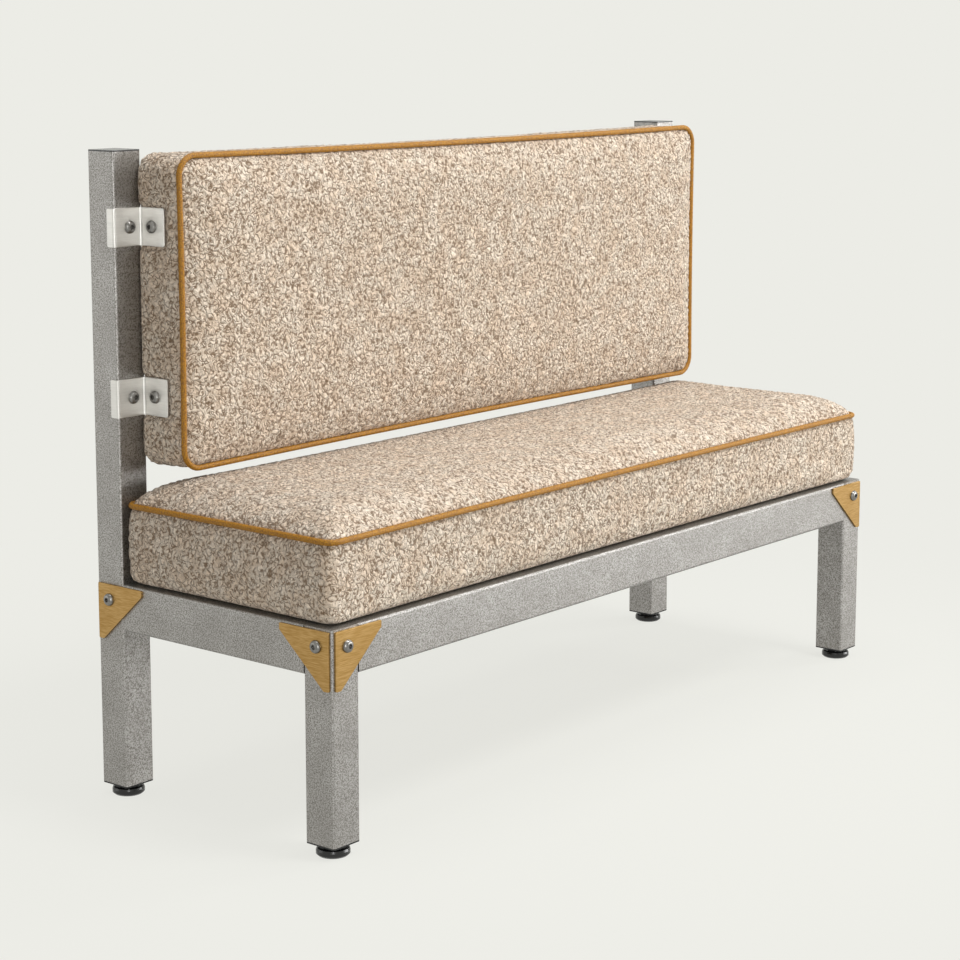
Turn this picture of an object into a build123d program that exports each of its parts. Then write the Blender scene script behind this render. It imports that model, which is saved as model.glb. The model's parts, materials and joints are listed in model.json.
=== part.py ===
"""Restaurant booth bench: aluminium tube frame, brass corner gussets, upholstered seat and back pads.

Millimetres, +Z up. The origin is on the floor, at the middle of the frame's plan.
The bench faces -Y, and its length runs along X.
"""

import math
import os

from build123d import *

# Frame: driving sizes
frame_length = 1300.0
frame_depth = 440.0
post_top = 893.0
rail_top = 305.0
rail_height = 65.0
tube_size = 50.0
tube_wall = 3.0
tube_corner = 3.5
tube_inner_corner = 1.0
leg_bottom = 18.0
leg_cap_thickness = 3.0

# Cross bearers under the seat board
bearer_width = 40.0
bearer_height = 25.0
bearer_wall = 2.0
bearer_corner = 2.0
bearer_spacing = 300.0

# Black plastic end plugs in the tubes
plug_lid = 2.0
plug_skirt = 24.0
plug_clearance = 0.2
plug_wall = 3.0
plug_rib = 2.5
plug_boss_radius = 12.0
post_plug_skirt = 16.0

# Levelling feet: a moulded glide on an M10 stud, in a hexagon nut held by the plug
stud_radius = 5.0
stud_length = 52.0
stud_chamfer = 1.0
stud_seat = 4.0
foot_radius = 22.5
foot_height = 11.0
foot_lower_chamfer = 2.5
foot_shoulder = 4.0
foot_neck_radius = 13.0
foot_neck_height = 2.5
running_clearance = 0.05
nut_across_flats = 17.0
nut_height = 10.0
nut_clearance = 0.1
stud_hole_clearance = 0.6

# Button-head screws, M10, with a hexagon socket
screw_radius = 5.0
screw_head_radius = 8.75
screw_head_height = 5.0
screw_head_rim = 1.0
screw_head_flat = 4.2
socket_across_flats = 6.0
socket_depth = 3.0
screw_hole_clearance = 0.25

# Rivet nuts set in the tube walls
rivet_nut_radius = 6.5
rivet_nut_bulge_radius = 8.5
rivet_nut_bulge = 3.0
rivet_nut_length = 16.0
screw_reach = 13.0

# Brass gussets on the outside of each rail joint
gusset_length = 86.0
gusset_height = 78.0
gusset_tip = 9.0
gusset_thickness = 3.0
gusset_round = 1.6
gusset_edge_inset = 4.0
gusset_top_inset = 2.5
gusset_screw_inset = 21.5

# Seat pad
pad_clearance = 0.3
seat_side_inset = 5.0
seat_front_inset = 5.0
seat_rear_gap = 2.0
spacer_height = 4.0
spacer_radius = 8.0
spacer_edge_inset = 40.0
seat_piping_height = 415.0
seat_crown = 37.0
seat_corner = 16.0
seat_draw_in_long = 3.0
seat_draw_in_short = 1.5
seat_lower_round = 15.0
seat_board_thickness = 12.0
seat_board_margin = 25.0
seat_board_corner = 10.0
board_screw_radius = 3.0
board_screw_head_radius = 6.0
board_screw_head_height = 3.0
board_screw_bite = 9.0
board_screw_step = 33.0

# Back pad
back_inset = 48.0
back_gap = 48.0
back_top_drop = 3.0
back_thickness = 74.0
back_crown = 18.0
back_corner = 28.0
back_draw_in_long = 3.0
back_draw_in_short = 1.5
back_rear_round = 12.0
back_rear_gap = 0.5
back_board_thickness = 12.0
back_board_margin = 18.0
back_board_corner = 16.0
batten_width = 30.0
batten_depth = 40.0
batten_end_inset = 20.0
batten_screw_radius = 2.0
batten_screw_head_radius = 4.0
batten_screw_length = 36.0
batten_screw_count = 3
insert_radius = 8.0
insert_length = 20.0
fabric_hole_clearance = 1.0

# Piping cord along the pads' front edges
piping_radius = 4.0
piping_inset = 2.0

# Crown of a pad above its piping: its reach is a share of the pad's half depth
crown_reach_share = 0.57
crown_inset_shares = (0.03, 0.09, 0.27, 0.55, 0.78, 1.0)
crown_rise_shares = (0.0, 0.32, 0.69, 0.91, 0.98, 1.0)
crown_corner_share = 0.25
diagonal_share = math.sqrt(0.5)

# Brackets that carry the back pad on the posts
bracket_height = 52.0
bracket_thickness = 3.0
bracket_lip = 14.0
bracket_leg = 49.0
bracket_lip_bend = 3.5
bracket_leg_bend = 7.0
bracket_round = 3.0
bracket_edge_distance = 98.0
bracket_leg_screw = 24.5

# Places worked out from the sizes above
half_length = frame_length / 2
half_depth = frame_depth / 2
leg_x = half_length - tube_size / 2
leg_y = half_depth - tube_size / 2
post_front = half_depth - tube_size
rail_middle = rail_top - rail_height / 2
tube_bore = tube_size - 2 * tube_wall
plug_size = tube_bore - 2 * plug_clearance
foot_top = foot_height + foot_neck_height
seat_base = rail_top + spacer_height
seat_half_length = half_length - seat_side_inset
seat_front = -(half_depth - seat_front_inset)
seat_rear = post_front - seat_rear_gap
seat_middle = (seat_front + seat_rear) / 2
seat_half_depth = (seat_rear - seat_front) / 2
spacer_reach = seat_half_depth - seat_board_margin - spacer_edge_inset
board_screw_reach = seat_middle + spacer_reach - board_screw_step
back_half_length = half_length - back_inset
back_bottom = seat_piping_height + back_gap
back_top = post_top - back_top_drop
back_middle = (back_top + back_bottom) / 2
back_half_height = (back_top - back_bottom) / 2
back_rear = post_front - back_rear_gap
back_front = post_front - back_thickness
board_front = back_rear - back_board_thickness
back_board_half_length = back_half_length - back_board_margin
batten_height = 2 * (back_half_height - back_board_margin - batten_end_inset)
overrun = tube_wall

corners = {
    "left_front": (-leg_x, -leg_y),
    "right_front": (leg_x, -leg_y),
    "left_rear": (-leg_x, leg_y),
    "right_rear": (leg_x, leg_y),
}
bearers = {"left": -bearer_spacing, "centre": 0.0, "right": bearer_spacing}


os.makedirs("parts", exist_ok=True)


def write(piece, name):
    """Label a finished piece and write it to its own file."""
    piece.part.label = name
    export_step(piece.part, f"parts/{name}.step")


def placed(plane, across, up, lift=0.0):
    """The place on a plane at these coordinates, with the plane's own directions."""
    return plane.location * Location((across, up, lift))


def face_plane(origin, facing):
    """A plane on an upright face: its normal looks out of the face and its second direction is up."""
    directions = {
        "front": ((1, 0, 0), (0, -1, 0)),
        "back": ((-1, 0, 0), (0, 1, 0)),
        "left": ((0, -1, 0), (-1, 0, 0)),
        "right": ((0, 1, 0), (1, 0, 0)),
    }
    along, outward = directions[facing]
    return Plane(origin=origin, x_dir=along, z_dir=outward)


# Gusset places: the outer top corner of each plate, the face it lies on and which way it runs
gusset_z = rail_top - gusset_top_inset
gusset_x = half_length - gusset_edge_inset
gusset_y = half_depth - gusset_edge_inset
gussets = {
    "left_front_gusset": (face_plane((-gusset_x, -half_depth, gusset_z), "front"), 1),
    "right_front_gusset": (face_plane((gusset_x, -half_depth, gusset_z), "front"), -1),
    "left_front_end_gusset": (face_plane((-half_length, -gusset_y, gusset_z), "left"), -1),
    "left_rear_end_gusset": (face_plane((-half_length, gusset_y, gusset_z), "left"), 1),
    "right_front_end_gusset": (face_plane((half_length, -gusset_y, gusset_z), "right"), 1),
    "right_rear_end_gusset": (face_plane((half_length, gusset_y, gusset_z), "right"), -1),
    "left_rear_gusset": (face_plane((-gusset_x, half_depth, gusset_z), "back"), -1),
    "right_rear_gusset": (face_plane((gusset_x, half_depth, gusset_z), "back"), 1),
}
gusset_screw_places = {
    name: placed(plane, way * gusset_screw_inset, -gusset_screw_inset)
    for name, (plane, way) in gussets.items()
}

# Bracket places: one pair to each post, the same distance from the back pad's ends
bracket_heights = {
    "upper": back_top - bracket_edge_distance,
    "lower": back_bottom + bracket_edge_distance,
}
sides = {"left": -1, "right": 1}


def post_screw_place(side, height):
    """Where a bracket's screw meets the front face of its post."""
    plane = face_plane((side * leg_x, post_front, height), "front")
    return placed(plane, 0, 0)


def pad_screw_place(side, height):
    """Where a bracket's other screw meets the side of the back pad."""
    facing = "left" if side < 0 else "right"
    across = side * (back_half_length + pad_clearance)
    plane = face_plane((across, post_front - bracket_leg_screw, height), facing)
    return placed(plane, 0, 0)


def tube(plane, width, height, length, wall, corner, inner_corner):
    """A hollow rectangular tube that starts on the plane and runs along its normal."""
    with BuildPart() as piece:
        with BuildSketch(plane):
            RectangleRounded(width, height, corner)
            RectangleRounded(width - 2 * wall, height - 2 * wall, inner_corner, mode=Mode.SUBTRACT)
        extrude(amount=length)
    return piece


# Posts and legs

def upright(corner_name, top):
    """One upright tube with the holes for its rivet nuts."""
    x, y = corners[corner_name]
    side_name, end_name = corner_name.split("_")
    blank = tube(Plane(origin=(x, y, leg_bottom)), tube_size, tube_size, top - leg_bottom,
                 tube_wall, tube_corner, tube_inner_corner)
    places = [place for name, place in gusset_screw_places.items() if name.startswith(corner_name)]
    if end_name == "rear":
        places += [post_screw_place(sides[side_name], height) for height in bracket_heights.values()]
    with BuildPart() as piece:
        add(blank.part)
        with Locations(*places):
            Hole(radius=rivet_nut_radius + running_clearance, depth=tube_wall + overrun)
    return piece


for side_name in sides:
    write(upright(f"{side_name}_rear", post_top), f"{side_name}_rear_post")
    write(upright(f"{side_name}_front", rail_top - leg_cap_thickness), f"{side_name}_front_leg")


# Welded plates that close the front legs under the seat pad

with BuildPart() as leg_caps:
    for side_name in sides:
        x, y = corners[f"{side_name}_front"]
        with BuildSketch(Plane(origin=(x, y, rail_top - leg_cap_thickness))):
            RectangleRounded(tube_size, tube_size, tube_corner)
        extrude(amount=leg_cap_thickness)
write(leg_caps, "leg_caps")


# Rails

long_rail_length = frame_length - 2 * tube_size
end_rail_length = frame_depth - 2 * tube_size
for rail_name, rail_y in (("front_rail", -leg_y), ("rear_rail", leg_y)):
    start = Plane(origin=(-long_rail_length / 2, rail_y, rail_middle), x_dir=(0, 1, 0), z_dir=(1, 0, 0))
    write(tube(start, tube_size, rail_height, long_rail_length, tube_wall, tube_corner, tube_inner_corner),
          rail_name)

for side_name, side in sides.items():
    start = Plane(origin=(side * leg_x, -end_rail_length / 2, rail_middle), x_dir=(1, 0, 0), z_dir=(0, 1, 0))
    write(tube(start, tube_size, rail_height, end_rail_length, tube_wall, tube_corner, tube_inner_corner),
          f"{side_name}_end_rail")


# Cross bearers, flush with the rails' tops, drilled for the seat board's screws

for bearer_name, bearer_x in bearers.items():
    start = Plane(origin=(bearer_x, -end_rail_length / 2, rail_top - bearer_height / 2),
                  x_dir=(1, 0, 0), z_dir=(0, 1, 0))
    blank = tube(start, bearer_width, bearer_height, end_rail_length,
                 bearer_wall, bearer_corner, bearer_wall / 2)
    with BuildPart() as bearer:
        add(blank.part)
        with Locations(*[Location((bearer_x, end * board_screw_reach, rail_top)) for end in (-1, 1)]):
            Hole(radius=board_screw_radius + screw_hole_clearance, depth=bearer_height + overrun)
    write(bearer, f"{bearer_name}_seat_bearer")


# End plugs: a lid on the tube's end and a skirt inside it

with BuildPart() as foot_plug:
    with BuildSketch(Plane.XY.offset(-plug_lid)):
        RectangleRounded(tube_size, tube_size, tube_corner)
    extrude(amount=plug_lid)
    with BuildSketch():
        RectangleRounded(plug_size, plug_size, tube_inner_corner)
        Rectangle(plug_size - 2 * plug_wall, plug_size - 2 * plug_wall, mode=Mode.SUBTRACT)
        Circle(plug_boss_radius)
        Rectangle(plug_size - plug_wall, plug_rib)
        Rectangle(plug_rib, plug_size - plug_wall)
    extrude(amount=plug_skirt)
    with Locations((0, 0, plug_skirt)):
        Hole(radius=stud_radius + stud_hole_clearance, depth=plug_skirt + plug_lid + overrun)
    with BuildSketch(Plane.XY.offset(plug_skirt)):
        RegularPolygon(nut_across_flats / 2 + nut_clearance, 6, major_radius=False)
    extrude(amount=-nut_height, mode=Mode.SUBTRACT)

with BuildPart() as foot_plugs:
    with Locations(*[(x, y, leg_bottom) for x, y in corners.values()]):
        add(foot_plug.part)
write(foot_plugs, "leg_end_plugs")

with BuildPart() as post_plugs:
    for side in sides.values():
        with BuildSketch(Plane(origin=(side * leg_x, leg_y, post_top))):
            RectangleRounded(tube_size, tube_size, tube_corner)
        extrude(amount=plug_lid)
        with BuildSketch(Plane(origin=(side * leg_x, leg_y, post_top))):
            RectangleRounded(plug_size, plug_size, tube_inner_corner)
            Rectangle(plug_size - 2 * plug_wall, plug_size - 2 * plug_wall, mode=Mode.SUBTRACT)
        extrude(amount=-post_plug_skirt)
write(post_plugs, "post_top_plugs")


# Hexagon nuts held in the plugs' bosses

with BuildPart() as foot_nut:
    with BuildSketch(Plane.XY.offset(plug_skirt - nut_height)):
        RegularPolygon(nut_across_flats / 2, 6, major_radius=False)
        Circle(stud_radius + running_clearance, mode=Mode.SUBTRACT)
    extrude(amount=nut_height)

with BuildPart() as foot_nuts:
    with Locations(*[(x, y, leg_bottom) for x, y in corners.values()]):
        add(foot_nut.part)
write(foot_nuts, "foot_nuts")


# Levelling feet

shoulder_drop = foot_shoulder * (1 - diagonal_share)
with BuildPart() as glide:
    with BuildSketch(Plane.XZ):
        with BuildLine():
            Polyline((stud_radius + running_clearance, foot_top),
                     (stud_radius + running_clearance, stud_seat),
                     (0, stud_seat), (0, 0), (foot_radius - foot_lower_chamfer, 0),
                     (foot_radius, foot_lower_chamfer), (foot_radius, foot_height - foot_shoulder),
                     (foot_radius - shoulder_drop, foot_height - shoulder_drop),
                     (foot_radius - foot_shoulder, foot_height), (foot_neck_radius, foot_height),
                     (foot_neck_radius, foot_top), close=True)
        make_face()
    revolve(axis=Axis.Z)

with BuildPart() as stud:
    with Locations((0, 0, stud_seat)):
        Cylinder(stud_radius, stud_length, align=(Align.CENTER, Align.CENTER, Align.MIN))
    chamfer(stud.faces().sort_by(Axis.Z)[-1].edges(), length=stud_chamfer)

for corner_name, (x, y) in corners.items():
    with BuildPart() as foot_glide:
        with Locations((x, y, 0)):
            add(glide.part)
    write(foot_glide, f"{corner_name}_foot_glide")
    with BuildPart() as foot_stud:
        with Locations((x, y, 0)):
            add(stud.part)
    write(foot_stud, f"{corner_name}_foot_stud")


# Fasteners, each drawn once with its head above the plane and its shank below it

def button_screw(grip):
    """A button-head screw whose shank runs this far below its head."""
    with BuildPart() as screw:
        with BuildSketch(Plane.XZ):
            with BuildLine():
                Line((0, screw_head_height), (screw_head_flat, screw_head_height))
                TangentArc((screw_head_flat, screw_head_height), (screw_head_radius, screw_head_rim),
                           tangent=(1, 0))
                Polyline((screw_head_radius, screw_head_rim), (screw_head_radius, 0), (screw_radius, 0),
                         (screw_radius, -grip), (0, -grip), (0, screw_head_height))
            make_face()
        revolve(axis=Axis.Z)
        with BuildSketch(Plane.XY.offset(screw_head_height)):
            RegularPolygon(socket_across_flats / 2, 6, major_radius=False)
        extrude(amount=-socket_depth, mode=Mode.SUBTRACT)
    return screw


def repeated(source, places):
    """The same solid at each of these places, as one node."""
    with BuildPart() as group:
        with Locations(*places):
            add(source.part)
    return group


with BuildPart() as rivet_nut:
    with BuildSketch(Plane.XZ):
        with BuildLine():
            Polyline((screw_radius + running_clearance, 0), (rivet_nut_radius, 0),
                     (rivet_nut_radius, -tube_wall), (rivet_nut_bulge_radius, -tube_wall),
                     (rivet_nut_bulge_radius, -tube_wall - rivet_nut_bulge),
                     (rivet_nut_radius, -tube_wall - rivet_nut_bulge),
                     (rivet_nut_radius, -rivet_nut_length),
                     (screw_radius + running_clearance, -rivet_nut_length), close=True)
        make_face()
    revolve(axis=Axis.Z)


# Gussets and what fastens them

def gusset(plane, way):
    """A right-angled plate with blunt tips and one screw hole."""
    with BuildPart() as plate:
        with BuildSketch(plane) as outline:
            with BuildLine():
                Polyline((0, 0), (way * gusset_length, 0), (way * gusset_length, -gusset_tip),
                         (way * gusset_tip, -gusset_height), (0, -gusset_height), close=True)
            make_face()
            fillet(outline.vertices(), radius=gusset_round)
            with Locations((way * gusset_screw_inset, -gusset_screw_inset)):
                Circle(screw_radius + screw_hole_clearance, mode=Mode.SUBTRACT)
        extrude(amount=gusset_thickness)
    return plate


for name, (plane, way) in gussets.items():
    write(gusset(plane, way), name)

plate_raise = Location((0, 0, gusset_thickness))
gusset_head_places = [place * plate_raise for place in gusset_screw_places.values()]
write(repeated(button_screw(gusset_thickness + screw_reach), gusset_head_places), "gusset_screws")
write(repeated(rivet_nut, list(gusset_screw_places.values())), "gusset_rivet_nuts")


# Brackets: a return lip on the post's outer face, a plate on its front and a leg along the pad's side

def bracket(side, height):
    """One bent bracket; side is -1 on the left and 1 on the right."""
    outer = -half_length - bracket_thickness
    inner = -(back_half_length + pad_clearance)
    front = post_front - bracket_thickness
    with BuildPart() as bent:
        with BuildSketch(Plane.XY.offset(height - bracket_height / 2)):
            with BuildLine():
                Polyline((outer, post_front - bracket_thickness + bracket_lip),
                         (outer, front),
                         (inner - bracket_thickness, front),
                         (inner - bracket_thickness, post_front - bracket_leg),
                         (inner, post_front - bracket_leg),
                         (inner, post_front),
                         (-half_length, post_front),
                         (-half_length, post_front - bracket_thickness + bracket_lip),
                         close=True)
            make_face()
        extrude(amount=bracket_height)
        lip_bend = bent.edges().filter_by(Axis.Z).filter_by_position(
            Axis.X, outer, outer
        ).filter_by_position(Axis.Y, front, front)
        fillet(lip_bend, radius=bracket_lip_bend)
        inside_bend = bent.edges().filter_by(Axis.Z).filter_by_position(
            Axis.X, inner - bracket_thickness, inner - bracket_thickness
        ).filter_by_position(Axis.Y, front, front)
        fillet(inside_bend, radius=bracket_leg_bend - bracket_thickness)
        outside_bend = bent.edges().filter_by(Axis.Z).filter_by_position(
            Axis.X, inner, inner
        ).filter_by_position(Axis.Y, post_front, post_front)
        fillet(outside_bend, radius=bracket_leg_bend)
        fillet(bent.faces().sort_by(Axis.Y)[0].edges().filter_by(Axis.X), radius=bracket_round)
        fillet(bent.faces().sort_by(Axis.Y)[-1].edges().filter_by(Axis.X), radius=bracket_round)
        with Locations(placed(face_plane((-leg_x, front, height), "front"), 0, 0),
                       placed(face_plane((inner - bracket_thickness, post_front - bracket_leg_screw, height),
                                         "left"), 0, 0)):
            Hole(radius=screw_radius + screw_hole_clearance, depth=bracket_thickness + overrun)
        if side > 0:
            mirror(about=Plane.YZ, mode=Mode.REPLACE)
    return bent


for side_name, side in sides.items():
    for level, height in bracket_heights.items():
        write(bracket(side, height), f"{side_name}_{level}_bracket")

bracket_spots = [(side, height) for side in sides.values() for height in bracket_heights.values()]
post_places = [post_screw_place(side, height) for side, height in bracket_spots]
pad_places = [pad_screw_place(side, height) for side, height in bracket_spots]
raised = Location((0, 0, bracket_thickness))
write(repeated(button_screw(bracket_thickness + screw_reach), [place * raised for place in post_places]),
      "bracket_post_screws")
write(repeated(rivet_nut, post_places), "bracket_rivet_nuts")
pad_screw_grip = bracket_thickness + pad_clearance + back_board_margin + insert_length
write(repeated(button_screw(pad_screw_grip), [place * raised for place in pad_places]), "bracket_pad_screws")


# Outline of a pad: its four sides are drawn in between the corners by shallow arcs that meet them smoothly

def pad_outline(plane, half_width, half_height, corner, draw_long, draw_short):
    """The flat face inside the outline, centred on the plane."""
    centre_x = half_width - corner
    centre_y = half_height - corner
    span_long = (centre_x ** 2 + draw_long ** 2) / (2 * draw_long)
    span_short = (centre_y ** 2 + draw_short ** 2) / (2 * draw_short)
    long_x = centre_x - corner * centre_x / span_long
    long_y = centre_y + corner * (span_long - draw_long) / span_long
    short_x = centre_x + corner * (span_short - draw_short) / span_short
    short_y = centre_y - corner * centre_y / span_short
    middle_x = centre_x + corner * diagonal_share
    middle_y = centre_y + corner * diagonal_share
    with BuildSketch(plane) as outline:
        with BuildLine():
            for way in (1, -1):
                ThreePointArc((-way * long_x, way * long_y), (0, way * (half_height - draw_long)),
                              (way * long_x, way * long_y))
                ThreePointArc((way * long_x, way * long_y), (way * middle_x, way * middle_y),
                              (way * short_x, way * short_y))
                ThreePointArc((way * short_x, way * short_y), (way * (half_width - draw_short), 0),
                              (way * short_x, -way * short_y))
                ThreePointArc((way * short_x, -way * short_y), (way * middle_x, -way * middle_y),
                              (way * long_x, -way * long_y))
        make_face()
    return outline.sketch.face()


def piping(plane, half_width, half_height, corner, draw_long, draw_short):
    """The cord round the pad's outline on the plane, swept one arc at a time."""
    path = pad_outline(plane, half_width - piping_inset, half_height - piping_inset, corner,
                       draw_long, draw_short).outer_wire()
    with BuildPart() as cord:
        for arc in path.edges():
            with BuildSketch(Plane(origin=arc @ 0, z_dir=arc % 0)):
                Circle(piping_radius)
            sweep(path=arc)
    return cord


def pad(plane, piping_level, half_width, half_height, corner, draw_long, draw_short, base_round, crown):
    """A box cushion in three storeys along the plane's normal: body, neck behind the piping and crown."""
    groove = piping_radius + pad_clearance

    def storey(level, inset, corner_growth=0.0):
        """The pad's outline at this level and inset; its draw-in fades towards the middle."""
        fade = 1 - inset / half_height
        return pad_outline(plane.offset(level), half_width - inset, half_height - inset,
                           corner + corner_growth, draw_long * fade, draw_short * fade)

    crown_reach = half_height * crown_reach_share
    crown_sections = []
    for inset_share, rise_share in zip(crown_inset_shares, crown_rise_shares):
        inset = crown_reach * inset_share
        rise = groove + (crown - groove) * rise_share
        crown_sections.append(storey(piping_level + rise, inset, inset * crown_corner_share))
    with BuildPart() as cushion:
        extrude(storey(0, 0), amount=piping_level - groove, dir=plane.z_dir)
        back_face = cushion.faces().sort_by(Axis(plane.origin, plane.z_dir))[0]
        fillet(back_face.edges(), radius=base_round)
        extrude(storey(piping_level - groove, piping_inset + groove), amount=2 * groove, dir=plane.z_dir)
        loft(crown_sections)
    return cushion


# Seat pad

seat_plane = Plane(origin=(0, seat_middle, seat_base))
seat_outline = (seat_half_length, seat_half_depth, seat_corner, seat_draw_in_long, seat_draw_in_short)
seat_board_size = (2 * (seat_half_length - seat_board_margin), 2 * (seat_half_depth - seat_board_margin))
seat_form = pad(seat_plane, seat_piping_height - seat_base, *seat_outline, seat_lower_round, seat_crown)
with BuildPart() as seat_cushion:
    add(seat_form.part)
    with BuildSketch(seat_plane):
        RectangleRounded(seat_board_size[0] + 2 * pad_clearance, seat_board_size[1] + 2 * pad_clearance,
                         seat_board_corner)
    extrude(amount=seat_board_thickness + pad_clearance, mode=Mode.SUBTRACT)
write(seat_cushion, "seat_cushion")
write(piping(seat_plane.offset(seat_piping_height - seat_base), *seat_outline), "seat_piping")

board_screw_places = [(x, end * board_screw_reach) for x in bearers.values() for end in (-1, 1)]
with BuildPart() as seat_board:
    with BuildSketch(seat_plane):
        RectangleRounded(*seat_board_size, seat_board_corner)
    extrude(amount=seat_board_thickness)
    with Locations(*[(x, y, seat_base + board_screw_bite) for x, y in board_screw_places]):
        Hole(radius=board_screw_radius + running_clearance, depth=board_screw_bite)
write(seat_board, "seat_board")

with BuildPart() as spacer:
    Cylinder(spacer_radius, spacer_height, align=(Align.CENTER, Align.CENTER, Align.MIN))
spacer_x = [*bearers.values(), *[side * (seat_board_size[0] / 2 - spacer_radius) for side in (-1, 1)]]
spacer_y = [seat_middle + end * spacer_reach for end in (-1, 1)]
write(repeated(spacer, [(x, y, rail_top) for x in spacer_x for y in spacer_y]), "seat_spacers")

with BuildPart() as board_screw:
    Cylinder(board_screw_radius, bearer_height + spacer_height + board_screw_bite,
             align=(Align.CENTER, Align.CENTER, Align.MIN))
    Cylinder(board_screw_head_radius, board_screw_head_height,
             align=(Align.CENTER, Align.CENTER, Align.MAX))
write(repeated(board_screw, [(x, y, rail_top - bearer_height) for x, y in board_screw_places]),
      "seat_board_screws")


# Back pad: its plane faces forward, with the pad's width along X

back_plane = Plane(origin=(0, back_rear, back_middle), x_dir=(1, 0, 0), z_dir=(0, -1, 0))
back_outline = (back_half_length, back_half_height, back_corner, back_draw_in_long, back_draw_in_short)
back_board_size = (2 * back_board_half_length, 2 * (back_half_height - back_board_margin))
batten_x = back_board_half_length - batten_width / 2
batten_middle_y = board_front - batten_depth / 2
back_form = pad(back_plane, back_rear - back_front, *back_outline, back_rear_round, back_crown)
with BuildPart() as back_cushion:
    add(back_form.part)
    with BuildSketch(back_plane):
        RectangleRounded(back_board_size[0] + 2 * pad_clearance, back_board_size[1] + 2 * pad_clearance,
                         back_board_corner)
    extrude(amount=back_board_thickness + pad_clearance, mode=Mode.SUBTRACT)
    with BuildSketch(back_plane):
        with Locations((-batten_x, 0), (batten_x, 0)):
            Rectangle(batten_width + 2 * pad_clearance, batten_height + 2 * pad_clearance)
    extrude(amount=back_board_thickness + batten_depth + pad_clearance, mode=Mode.SUBTRACT)
    with Locations(*pad_places):
        Hole(radius=screw_radius + fabric_hole_clearance, depth=back_board_margin + batten_width / 2)
write(back_cushion, "back_cushion")
write(piping(back_plane.offset(back_rear - back_front), *back_outline), "back_piping")

batten_screw_step = (batten_height - 2 * batten_end_inset) / (batten_screw_count - 1)
with BuildPart() as back_board:
    with BuildSketch(back_plane):
        RectangleRounded(*back_board_size, back_board_corner)
    extrude(amount=back_board_thickness)
    for side in sides.values():
        with Locations(face_plane((side * batten_x, back_rear, back_middle), "back")):
            with GridLocations(batten_screw_step, batten_screw_step, 1, batten_screw_count):
                CounterSinkHole(radius=batten_screw_radius + running_clearance,
                                counter_sink_radius=batten_screw_head_radius + running_clearance,
                                depth=back_board_thickness + overrun)
write(back_board, "back_board")

for side_name, side in sides.items():
    with BuildPart() as batten:
        with Locations((side * batten_x, batten_middle_y, back_middle)):
            Box(batten_width, batten_depth, batten_height)
        with Locations(*[place * Location((0, 0, -back_board_margin - pad_clearance)) for place in pad_places
                         if place.position.X * side > 0]):
            Hole(radius=insert_radius + running_clearance, depth=insert_length)
        with Locations(face_plane((side * batten_x, board_front, back_middle), "back")):
            with GridLocations(batten_screw_step, batten_screw_step, 1, batten_screw_count):
                Hole(radius=batten_screw_radius + running_clearance,
                     depth=batten_screw_length - back_board_thickness)
    write(batten, f"{side_name}_back_batten")

with BuildPart() as insert:
    with BuildSketch(Plane.XY.offset(-insert_length)):
        Circle(insert_radius)
        Circle(screw_radius + running_clearance, mode=Mode.SUBTRACT)
    extrude(amount=insert_length)
insert_places = [place * Location((0, 0, -back_board_margin - pad_clearance)) for place in pad_places]
write(repeated(insert, insert_places), "batten_inserts")

with BuildPart() as batten_screw:
    with BuildSketch(Plane.XZ):
        with BuildLine():
            Polyline((0, 0), (batten_screw_head_radius, 0),
                     (batten_screw_radius, batten_screw_radius - batten_screw_head_radius),
                     (batten_screw_radius, -batten_screw_length), (0, -batten_screw_length), close=True)
        make_face()
    revolve(axis=Axis.Z)

with BuildPart() as batten_screws:
    for side in sides.values():
        with Locations(face_plane((side * batten_x, back_rear, back_middle), "back")):
            with GridLocations(batten_screw_step, batten_screw_step, 1, batten_screw_count):
                add(batten_screw.part)
write(batten_screws, "batten_screws")
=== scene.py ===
"""Restaurant booth bench: looped fabric, piping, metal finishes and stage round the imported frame.

Metres, +Z up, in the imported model's own frame. The bench faces -Y.
"""

import json
import math

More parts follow.
